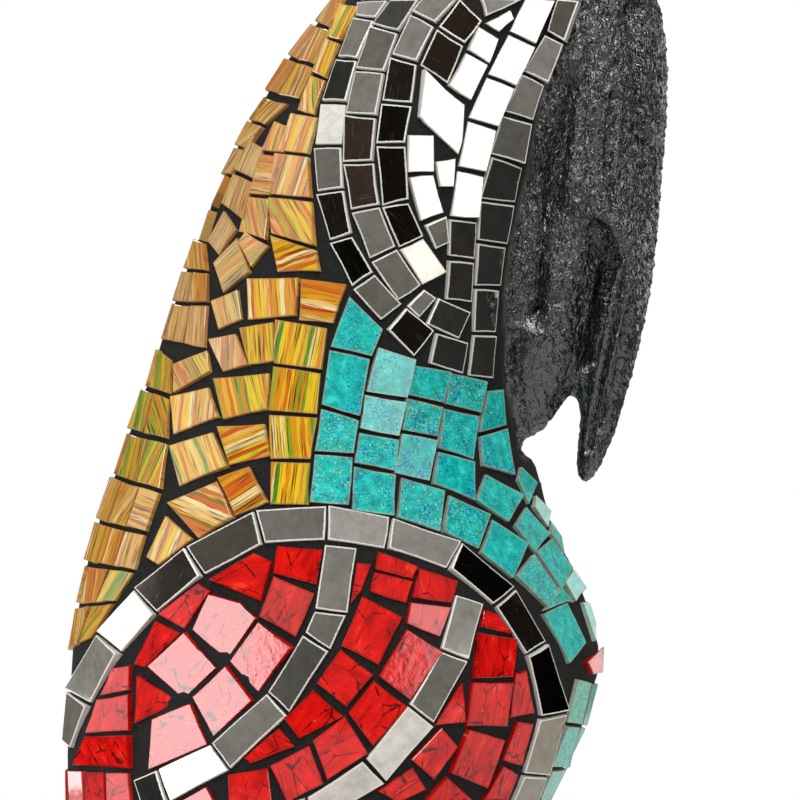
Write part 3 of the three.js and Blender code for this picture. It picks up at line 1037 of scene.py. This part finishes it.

# The tones in these tables paint pale reflection on the glass tiles
NAPE_COURSES: tuple[tuple[tuple[Stop, ...], tuple[float, ...]], ...] = (
    (((338, 3, 360, 6), (327, 39, 340, 43), (311, 75, 325, 81), (297, 113, 313, 118)), (0, .1, .1)),
    (((292, 114, 319, 118), (277, 154, 308, 158), (269, 197, 312, 202), (272, 236, 316, 250),
      (278, 275, 321, 275)), (.1, .1, .1, 0)),
    (((302, 278, 347, 285), (300, 324, 333, 326)), (0,)),
    (((277, 318, 328, 327), (275, 365, 322, 371), (270, 412, 318, 416), (272, 459, 311, 460),
      (272, 505, 309, 505)), (0, 0, 0, 0)),
    (((276, 120, 290, 126), (261, 153, 283, 157), (248, 196, 270, 199), (238, 234, 266, 243)),
     (.2, .3, .2)),
    (((248, 277, 299, 277), (249, 322, 296, 319)), (0,)),
    (((240, 326, 273, 321), (250, 367, 276, 363)), (.1,)),
    (((214, 377, 270, 371), (225, 421, 269, 411)), (0,)),
    (((219, 425, 265, 422), (231, 466, 273, 457)), (0,)),
    (((219, 475, 250, 463), (237, 516, 271, 502)), (0,)),
    (((250, 138, 264, 148), (234, 172, 253, 181), (220, 205, 243, 222)), (.8, .7)),
    (((212, 299, 238, 289), (219, 331, 243, 322)), (.5,)),
    (((210, 338, 236, 332), (225, 374, 250, 367)), (.3,)),
    (((174, 362, 208, 348), (174, 394, 212, 373)), (.2,)),
    (((172, 394, 208, 386), (174, 435, 221, 418)), (0,)),
    (((172, 444, 213, 430), (181, 487, 231, 467)), (0,)),
    (((168, 501, 218, 479), (202, 537, 236, 517)), (0,)),
)
NAPE_SINGLES: tuple[tuple[tuple[Place, ...], float], ...] = (
    (((246, 233), (269, 247), (252, 267), (239, 243)), .2),
    (((224, 211), (236, 231), (219, 256), (207, 242)), .8),
    (((237, 239), (250, 273), (224, 294), (213, 264)), .5),
    (((168, 515), (195, 537), (160, 563), (148, 556)), 0),
)

# The tones in these tables paint pale reflection on the glass tiles
THROAT_COURSES: tuple[tuple[tuple[Stop, ...], tuple[float, ...]], ...] = (
    (((350, 296, 384, 328), (331, 349, 371, 358), (322, 407, 360, 418), (316, 452, 354, 455),
      (310, 502, 350, 505)), ()),
    (((379, 346, 416, 358), (366, 393, 407, 400), (360, 430, 399, 438), (355, 464, 396, 472),
      (353, 510, 394, 515)), ()),
    (((415, 364, 451, 371), (407, 397, 444, 405), (402, 431, 438, 438), (395, 473, 430, 481)), ()),
    (((402, 474, 445, 488), (397, 517, 440, 532)), ()),
    (((451, 371, 487, 380), (445, 406, 480, 414), (438, 449, 473, 460), (433, 484, 475, 502)), ()),
    (((450, 492, 489, 511), (442, 532, 479, 549)), ()),
    (((488, 389, 504, 388), (480, 434, 506, 427), (483, 467, 514, 476)), ()),
    (((487, 472, 523, 493), (475, 501, 508, 523)), ()),
    (((493, 516, 528, 541), (479, 552, 512, 578)), ()),
    (((553, 536, 574, 567), (534, 552, 560, 590), (513, 576, 545, 605)), (.15, .1)),
    (((575, 568, 588, 586), (562, 583, 575, 602), (541, 610, 566, 600)), (.2, .1)),
    (((578, 676, 592, 680), (566, 722, 580, 725), (552, 768, 572, 771), (540, 800, 552, 806)),
     (.4, .3, .4)),
    (((594, 682, 604, 684), (581, 726, 588, 728), (568, 770, 572, 772)), (.4, .3)),
    (((536, 806, 550, 808), (522, 838, 530, 838)), (.2,)),
)
THROAT_SINGLES: tuple[tuple[tuple[Place, ...], float], ...] = (
    (((521, 466), (537, 483), (529, 503), (518, 479)), .1),
    (((527, 506), (549, 533), (536, 551), (515, 526)), .1),
    (((542, 612), (566, 601), (586, 641), (568, 662)), .1),
    (((536, 495), (551, 511), (549, 527), (534, 507)), .2),
    (((552, 520), (564, 535), (565, 553), (551, 533)), .2),
    (((583, 601), (596, 601), (604, 621), (595, 640)), .2),
)

WING_ROWS: tuple[tuple[tuple[Place, ...], float], ...] = (
    (((279, 544), (324, 547), (318, 581), (275, 570)), 0),
    (((256, 550), (274, 560), (263, 599), (212, 577)), 0),
    (((200, 581), (213, 588), (186, 626), (161, 612)), 0),
    (((212, 591), (241, 600), (259, 615), (228, 656), (193, 627)), -.4),
    (((275, 573), (316, 590), (297, 633), (261, 613)), .1),
    (((159, 618), (182, 630), (147, 665), (137, 661)), -.7),
    (((188, 630), (217, 664), (184, 696), (153, 663)), -.6),
    (((260, 619), (295, 643), (259, 688), (231, 657)), -.6),
    (((229, 662), (256, 695), (214, 732), (195, 693)), -.4),
    (((141, 672), (181, 698), (137, 720)), -.3),
    (((193, 699), (209, 739), (152, 765), (156, 716)), -.3),
    (((363, 593), (402, 614), (380, 661), (343, 642)), 0),
    (((341, 645), (374, 670), (347, 702), (317, 678)), 0),
    (((314, 684), (344, 711), (301, 733), (286, 714)), 0),
    (((375, 676), (408, 702), (373, 741), (349, 708)), 0),
    (((407, 626), (441, 648), (411, 695), (379, 671)), 0),
    (((346, 711), (369, 747), (329, 774), (314, 735)), 0),
    (((272, 759), (311, 740), (326, 777), (288, 796)), 0),
    (((231, 769), (270, 762), (274, 796), (231, 796)), 0),
    (((246, 753), (281, 723), (296, 740), (252, 758)), 0),
    (((176, 800), (209, 781), (217, 797)), 0),
    (((378, 549), (418, 564), (413, 577), (375, 566)), 0),
    (((375, 569), (413, 579), (407, 600), (371, 588)), 0),
    (((419, 566), (458, 578), (452, 600), (412, 594)), 0),
    (((410, 599), (450, 605), (440, 634), (406, 620)), 0),
    (((357, 560), (372, 561), (362, 588), (352, 600)), 0),
    (((483, 607), (496, 611), (512, 631), (480, 624)), 0),
    (((476, 630), (515, 636), (512, 674), (473, 674)), 0),
    (((471, 678), (512, 680), (505, 723), (466, 721)), 0),
    (((515, 671), (525, 667), (534, 710), (510, 715)), 0),
    (((517, 718), (533, 722), (522, 763), (502, 757)), 0),
    (((467, 725), (505, 737), (487, 784), (449, 769)), 0),
    (((502, 762), (518, 773), (508, 797), (483, 796)), 0),
    (((462, 679), (465, 719), (435, 721)), 0),
    (((441, 724), (458, 742), (434, 774), (411, 755)), 0),
    (((413, 762), (426, 784), (398, 797), (378, 785)), 0),
    (((446, 772), (471, 796), (425, 796)), 0),
)

# A lone tile at the breast's edge, red on the right side and turquoise on the left
BREAST_SINGLE: tuple[Place, ...] = ((606, 646), (606, 673), (592, 673), (585, 661))

LOW_BACK_SINGLES: tuple[tuple[Place, ...], ...] = (
    ((114, 666), (132, 664), (132, 688), (102, 694)),
    ((99, 698), (132, 692), (132, 728), (88, 731)),
    ((86, 735), (132, 732), (132, 764), (74, 764)),
)

BAND: tuple[Stop, ...] = (
    (50, 742, 70, 748), (64, 690, 90, 703), (98, 632, 122, 651), (136, 587, 158, 611),
    (187, 545, 205, 573), (257, 509, 265, 541), (328, 504, 327, 537), (392, 515, 387, 546),
    (461, 540, 448, 566), (514, 586, 494, 603), (547, 641, 526, 652), (567, 711, 540, 715),
    (548, 775, 524, 772), (524, 838, 498, 832),
)
BAND_TONES = (0.0, 0.0, 0.0, DARK, DIM, 0.0, 0.0, 0.0, DARK, DARK, DARK, DIM, DIM)
FEATHER_ARCS: tuple[tuple[Stop, ...], ...] = (
    ((327, 541, 358, 545), (317, 607, 348, 610), (306, 630, 331, 646), (270, 688, 290, 709),
     (214, 739, 232, 764), (160, 766, 171, 797), (135, 777, 142, 803)),
    ((456, 590, 483, 600), (441, 646, 468, 657), (409, 701, 433, 720), (366, 754, 386, 777),
     (308, 792, 312, 820), (244, 812, 246, 838)),
)


@dataclass
class WrappedCourses:
    """Courses that run round the form from one side to the other, where the side view is edge on."""

    bed: TileBed
    tile_mm: float = 10.2
    joint_mm: float = 0.9
    narrowing: float = 0.05  # share by which each side of a tile is pulled in along its course
    lean: float = 1.2
    fine: int = 60

    def fill(self, lines: list[list[Vector]], tones: tuple[float, float]) -> None:
        """Lay courses of tiles between cut lines that run from side to side.

        Args:
            lines: The cut lines, each a path over the body's face.
            tones: Least and most tone.
        """
        for one, two in zip(lines, lines[1:]):
            lengths = [path_length(one), path_length(two)]
            count = max(1, round(sum(lengths) / 2 / (self.tile_mm * MM)))
            for index in range(count):
                gaps = [self.joint_mm * MM / 2 / max(length, 1e-6) for length in lengths]
                corners = [
                    path_point(one, index / count + gaps[0]),
                    path_point(one, (index + 1) / count - gaps[0]),
                    path_point(two, (index + 1) / count - gaps[1]),
                    path_point(two, index / count + gaps[1]),
                ]
                pulled = [
                    corner.lerp(corners[mate], self.narrowing)
                    for corner, mate in zip(corners, (3, 2, 1, 0))
                ]
                along = (corners[3] - corners[0]).normalized()
                self.bed.lay_points(pulled, along, self.bed.random.uniform(*tones), self.lean)


@dataclass
class CrownCourses(WrappedCourses):
    """The crown, from cheek to cheek."""

    hub: Place = (470.0, 60.0)
    stops: tuple[Place, ...] = (
        (341, -10), (366, -36), (395, -60), (428, -83), (465, -102), (505, -115),
        (545, -107), (578, -88), (600, -66),
    )

    def line(self, place: Place, cheek: list[Place]) -> list[Vector]:
        """Return the points across the crown at one place of its outline, right to left.

        Args:
            place: Where the cut line crosses the crown's outline on the sheet.
            cheek: The cheek's outline, where the line ends.

        Returns:
            The line's points.
        """
        hub = Vector((to_x(self.hub[0]), 0, to_z(self.hub[1])))
        up = (Vector((to_x(place[0]), 0, to_z(place[1]))) - hub).normalized()
        halves = []
        for side in Side:
            half = []
            for step in range(self.fine):
                turn = 1.45 * step / self.fine
                ray = up * math.cos(turn) + Vector((0, side.value, 0)) * math.sin(turn)
                hit = self.bed.faces.ray_cast(hub, ray)[0]
                if hit is None:
                    break
                across = hit.x / SQUARE + SHEET_MIDDLE
                down = SHEET_FLOOR - hit.z / SQUARE
                if step > 3 and inside(cheek, across, down):
                    break
                half.append(hit)
            halves.append(half)
        return halves[0][::-1] + halves[1][1:]

    def lay(self, cheek: list[Place]) -> None:
        """Lay every course between two of the crown's cut lines."""
        self.fill([self.line(stop, cheek) for stop in self.stops], (0.0, 0.15))


@dataclass
class BackCourses(WrappedCourses):
    """Courses round the back, from a place on the right by way of the spine to the left."""

    axis: tuple[Place, ...] = ((455, -20), (415, 128), (358, 302), (328, 430), (326, 840))

    def axis_at(self, down: float) -> float:
        """Return how far across the body's middle is at a height down the sheet.

        Args:
            down: How far down the sheet.

        Returns:
            How far across the sheet.
        """
        pairs = list(zip(self.axis, self.axis[1:]))
        (left, top), (right, low) = next((p for p in pairs if down <= p[1][1]), pairs[-1])
        return left + (right - left) * (down - top) / (low - top)

    def line(self, start: Place, spine: float) -> list[Vector]:
        """Return a path from a place of the sheet round the back.

        Args:
            start: Where it leaves the tiles that are drawn on the sheet.
            spine: How far down the sheet it crosses the spine.

        Returns:
            Its points, from the bird's right side to its left.
        """
        first = self.bed.on_face(*start, Side.RIGHT)
        hub = Vector((to_x(self.axis_at(start[1])), 0, first.z))
        opening = math.atan2(-(first - hub).y, -(first - hub).x)
        half = []
        for step in range(self.fine + 1):
            share = step / self.fine
            down = start[1] + (spine - start[1]) * share
            hub = Vector((to_x(self.axis_at(down)), 0, to_z(min(down, SHEET_FLOOR - 1.5))))
            turn = opening * (1 - share)
            hit = self.bed.faces.ray_cast(hub, Vector((-math.cos(turn), -math.sin(turn), 0)))[0]
            if hit is not None:
                half.append(hit)
        return half + [Vector((p.x, -p.y, p.z)) for p in half[-2::-1]]

    def lay(self, rows: Sequence[tuple[Place, float]], tones: tuple[float, float]) -> None:
        """Lay every course between two rows."""
        self.fill([self.line(*row) for row in rows], tones)


UPPER_NAPE_ROWS: tuple[tuple[Place, float], ...] = (
    ((346, -4), -8), ((332, 32), 22), ((316, 68), 56), ((300, 102), 92),
)
MIDDLE_NAPE_ROWS: tuple[tuple[Place, float], ...] = (
    ((290, 105), 95), ((264, 127), 119), ((247, 150), 146), ((231, 176), 176), ((215, 210), 205),
    ((204, 243), 238), ((208, 272), 270), ((209, 304), 302), ((206, 351), 339),
)
LOWER_NAPE_ROWS: tuple[tuple[Place, float], ...] = (
    ((171, 358), 343), ((171, 396), 386), ((169, 441), 430), ((163, 490), 474),
    ((148, 532), 520), ((137, 570), 562), ((116, 601), 606), ((92, 638), 652),
)
LOW_BACK_ROWS: tuple[tuple[Place, float], ...] = (
    ((132, 768), 768), ((136, 803), 803), ((136, 838), 838),
)


def inside(outline: list[Place], across: float, down: float) -> bool:
    """Tell whether a place of the sheet is inside an outline.

    Args:
        outline: The outline's corners.
        across: How far across the sheet.
        down: How far down the sheet.

    Returns:
        True inside it.
    """
    crossings = 0
    for (a, b), (c, d) in zip(outline, outline[1:] + outline[:1]):
        if (b > down) != (d > down) and across < a + (c - a) * (down - b) / (d - b):
            crossings += 1
    return crossings % 2 == 1


def path_length(path: list[Vector]) -> float:
    """Return the length of a path of points."""
    return sum((b - a).length for a, b in zip(path, path[1:]))


def path_point(path: list[Vector], share: float) -> Vector:
    """Return the point at a share of a path's length.

    Args:
        path: The path's points.
        share: Share of its length, 0 at its start.

    Returns:
        The point.
    """
    left = min(max(share, 0.0), 1.0) * path_length(path)
    for a, b in zip(path, path[1:]):
        step = (b - a).length
        if left <= step and step > 0:
            return a.lerp(b, left / step)
        left -= step
    return path[-1].copy()


CHEEK_EDGE: list[Place] = [
    (354, 22), (330, 75), (312, 151), (330, 250), (380, 330), (495, 384), (590, -36),
    (590, -70), (556, -91), (500, -97), (441, -80), (393, -48), (364, -12),
]


@dataclass
class Mosaic:
    """All the fields of tiles."""

    bed: TileBed
    eye_radii: tuple[float, float] = (26.0, 43.0)  # squares
    eye_tiles: int = 10
    eye_lean: float = 2.0  # degrees, as the two below
    cheek_lean: float = 1.6
    wing_mirror_lean: float = 1.5
    sole_left: tuple[int, ...] = (*range(140, 240, 34), *range(334, 480, 38))

    def finish_piece(self, name: str, material: bpy.types.Material,
                     starts: Iterable[str]) -> None:
        """Cut what was laid, and let it stand for the CAD nodes of its field.

        Args:
            name: The piece's name.
            material: Its finish.
            starts: How the replaced nodes' names start.
        """
        count = len(self.bed.tiles)
        piece = self.bed.cut(name, material)
        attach(piece, "root")
        nodes = [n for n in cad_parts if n.startswith(tuple(starts))]
        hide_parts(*nodes)
        log.info("%s: %d tiles, %d faces", name, count, len(piece.data.polygons))

    def eye_ring(self, side: Side) -> None:
        """Lay the small tiles round an eye.

        Args:
            side: The bird's side.
        """
        inner, outer = self.eye_radii
        joint = 0.06  # of a tile's own turn, at each of its two ends
        for index in range(self.eye_tiles):
            turns = [
                2 * math.pi * (index + share) / self.eye_tiles for share in (joint, 1 - joint)
            ]
            corners = [
                (EYE[0] + radius * math.cos(turn), EYE[1] + radius * math.sin(turn))
                for radius, turn in ((inner, turns[0]), (outer, turns[0]), (outer, turns[1]),
                                     (inner, turns[1]))
            ]
            self.bed.lay(corners, side, lean=self.eye_lean)

    def cheek(self, side: Side, mirror: bpy.types.Material) -> None:
        """Lay one cheek.

        Args:
            side: The bird's side.
            mirror: The tiles' finish.
        """
        for stops, tones in CHEEK_COURSES:
            self.bed.course(stops, side, tones, lean=self.cheek_lean)
        for outline, tone in CHEEK_SINGLES:
            self.bed.lay(outline, side, tone, lean=self.cheek_lean)
        self.eye_ring(side)
        word = side.name.lower()
        self.finish_piece(f"cheek_mirrors_{word}", mirror, [f"cheek_tiles_{word}"])

    def nape(self, glass: bpy.types.Material) -> None:
        """Lay the nape and the crown.

        Args:
            glass: The tiles' finish.
        """
        for side in Side:
            for stops, tones in NAPE_COURSES:
                self.bed.course(stops, side, tones)
            for outline, tone in NAPE_SINGLES:
                self.bed.lay(outline, side, tone)
        CrownCourses(self.bed).lay(CHEEK_EDGE)
        back = BackCourses(self.bed)
        # Each course's tone is drawn at random between these bounds: painted pale reflection
        back.lay(UPPER_NAPE_ROWS, (0.1, 0.7))
        back.lay(MIDDLE_NAPE_ROWS, (0.2, 0.8))
        back.lay(LOWER_NAPE_ROWS, (0.0, 0.4))
        self.finish_piece("nape_and_crown_glass", glass, ["crown_and_nape"])

    def throat(self, glass: bpy.types.Material) -> None:
        """Lay the throat and the breast.

        Args:
            glass: The tiles' finish.
        """
        for side in Side:
            for stops, tones in THROAT_COURSES:
                self.bed.course(stops, side, tones)
            for outline, tone in THROAT_SINGLES:
                self.bed.lay(outline, side, tone)
        self.bed.lay(BREAST_SINGLE, Side.LEFT, 0.1)
        self.finish_piece("throat_and_breast_glass", glass, ["throat_and_breast"])

    def wing(self, side: Side, glass: bpy.types.Material, mirror: bpy.types.Material) -> None:
        """Lay one wing shoulder: red field, mirror band and feather arcs.

        Args:
            side: The bird's side.
            glass: The red field's finish.
            mirror: The band's and the feathers' finish.
        """
        word = side.name.lower()
        for outline, tone in WING_ROWS:
            self.bed.lay(outline, side, tone)
        self.low_rows(side)
        if side is Side.RIGHT:
            self.bed.lay(BREAST_SINGLE, side)
            BackCourses(self.bed).lay(LOW_BACK_ROWS, (0.0, 0.2))
        self.finish_piece(f"wing_glass_{word}", glass, [f"wing_tiles_{word}"])
        self.bed.course(BAND, side, BAND_TONES, self.wing_mirror_lean)
        self.finish_piece(f"band_mirrors_{word}", mirror, [f"band_mirror_{word}"])
        for stops in FEATHER_ARCS:
            self.bed.course(stops, side, (), self.wing_mirror_lean)
        self.finish_piece(f"feather_mirrors_{word}", mirror,
                          [f"feather_mirror_{word}"])

    def low_rows(self, side: Side) -> None:
        """Lay the plain tiles low on the back and along the underside's edge.

        Args:
            side: The bird's side.
        """
        for outline in LOW_BACK_SINGLES:
            self.bed.lay(outline, side)
        for left in self.sole_left:
            width = 30.0 if left < 240 else 34.0
            self.bed.lay(((left, 804), (left + width, 803), (left + width, 838), (left, 838)), side)


@dataclass
class Studio:
    """Plain pale floor, soft light, and the camera of the photograph."""

    middle: Place = (400.0, 400.0)
    distance: float = 3.0
    sensor: float = 36.0
    frame_squares: float = 800.0
    boxes: tuple[tuple[str, tuple[float, float, float], float, float, float], ...] = (
        ("right_softbox", (0.98, -0.82, 0.18), 0.75, 0.34, 3.8),
        ("left_softbox", (-1.1, 0.12, 0.4), 0.5, 0.8, 2.6),
        ("low_softbox", (-0.95, -0.62, -0.02), 0.34, 0.24, 3.2),
        ("top_softbox", (0.05, -0.62, 1.2), 0.6, 0.3, 9.5),
        ("sky_softbox", (-0.1, -1.25, 0.95), 0.7, 0.26, 8.5),
    )

    def camera(self) -> None:
        """Set the camera level with the middle of the sheet, looking along +Y."""
        data = bpy.data.cameras.new("camera")
        data.sensor_width = self.sensor
        data.lens = self.sensor * self.distance / (self.frame_squares * SQUARE)
        data.clip_end = 50.0
        made = bpy.data.objects.new("camera", data)
        made.location = (to_x(self.middle[0]), -self.distance, to_z(self.middle[1]))
        made.rotation_euler = (math.pi / 2, 0, 0)
        bpy.context.scene.collection.objects.link(made)
        bpy.context.scene.camera = made

    def softbox(self, name: str, place: Vector, target: Vector, width: float, height: float,
                power: float) -> None:
        """Hang one softbox.

        Args:
            name: Its name.
            place: Its middle.
            target: What it faces.
            width: Its width in metres.
            height: Its height in metres.
            power: Its power in watts.
        """
        data = bpy.data.lights.new(name, "AREA")
        data.shape = "RECTANGLE"
        data.size = width
        data.size_y = height
        data.energy = power
        made = bpy.data.objects.new(name, data)
        made.location = place
        made.rotation_mode = "QUATERNION"
        made.rotation_quaternion = (target - place).to_track_quat("-Z", "Y")
        made.visible_camera = False
        bpy.context.scene.collection.objects.link(made)

    def lights(self) -> None:
        """Hang the softboxes, the same before and behind, and set the surroundings."""
        middle = Vector((0.02, 0, 0.12))
        for word, turn, share in (("front", 1, 0.85), ("rear", -1, 0.45)):
            for name, place, width, height, power in self.boxes:
                spot = Vector((place[0], place[1] * turn, place[2]))
                self.softbox(f"{name}_{word}", spot, middle, width, height, power * share)
        world = bpy.data.worlds.new("surroundings")
        bpy.context.scene.world = world
        world.use_nodes = True
        tree = world.node_tree
        background = next(n for n in tree.nodes if n.type == "BACKGROUND")
        heading = add_node(tree, "ShaderNodeTexCoord").outputs["Generated"]
        parts = add_node(tree, "ShaderNodeSeparateXYZ", links={0: heading})
        room = add_node(tree, "ShaderNodeTexNoise", {"in:Scale": 2.2, "in:Detail": 1.5},
                        {"Vector": heading})
        level = math_node(tree, "MULTIPLY_ADD", room.outputs[0], 1.3, -0.4)
        level = math_node(tree, "MULTIPLY_ADD", parts.outputs[2], 0.35, level)
        facing = math_node(tree, "ABSOLUTE", parts.outputs[1])
        facing = math_node(tree, "MULTIPLY_ADD", facing, 1.0, -0.45)
        level = math_node(tree, "ADD", level, math_node(tree, "MINIMUM", facing, 0.0))
        glow = ramp(tree, level, (
            (0.0, "#353433"), (0.2, "#7c7a76"), (0.45, "#a3a19d"), (0.8, "#dadada"),
        ))
        seen = add_node(tree, "ShaderNodeLightPath").outputs["Is Camera Ray"]
        tree.links.new(blend_colours(tree, seen, glow, "#ffffff"), background.inputs[0])
        background.inputs[1].default_value = 1.0

    def floor(self) -> None:
        """Lay the round pale floor."""
        bm = bmesh.new()
        bmesh.ops.create_circle(bm, cap_ends=True, segments=96, radius=0.27)
        mesh = bpy.data.meshes.new("floor")
        bm.to_mesh(mesh)
        bm.free()
        made = new_object("floor", mesh)
        made.location.z = CAD_BOX[0].z
        material, tree, shader = fresh_material("pale_floor")
        shader.inputs["Base Color"].default_value = linear("#e6e4e0")
        shader.inputs["Roughness"].default_value = 0.7
        made.data.materials.append(material)


def main() -> None:
    """Build the bust and its studio."""
    scene = bpy.context.scene
    scene.view_settings.view_transform = "Standard"
    noise.seed_set(CARVING_SEED)
    body = CarvedBody()
    carving = body.build()
    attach(carving, "root")
    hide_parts("carved_body")
    log.info("carved_bird: %d faces", len(carving.data.polygons))
    mosaic = Mosaic(TileBed(body.faces, random.Random(7)))
    mirror = SilveredMirror().make()
    red = CrackedRedGlass().make()
    mosaic.nape(StreakedGlass().make())
    mosaic.throat(SpeckledGlass().make())
    both_sides(lambda side: mosaic.cheek(side, mirror))
    both_sides(lambda side: mosaic.wing(side, red, mirror))
    studio = Studio()
    studio.camera()
    studio.lights()
    studio.floor()


if __name__ == "__main__":
    main()
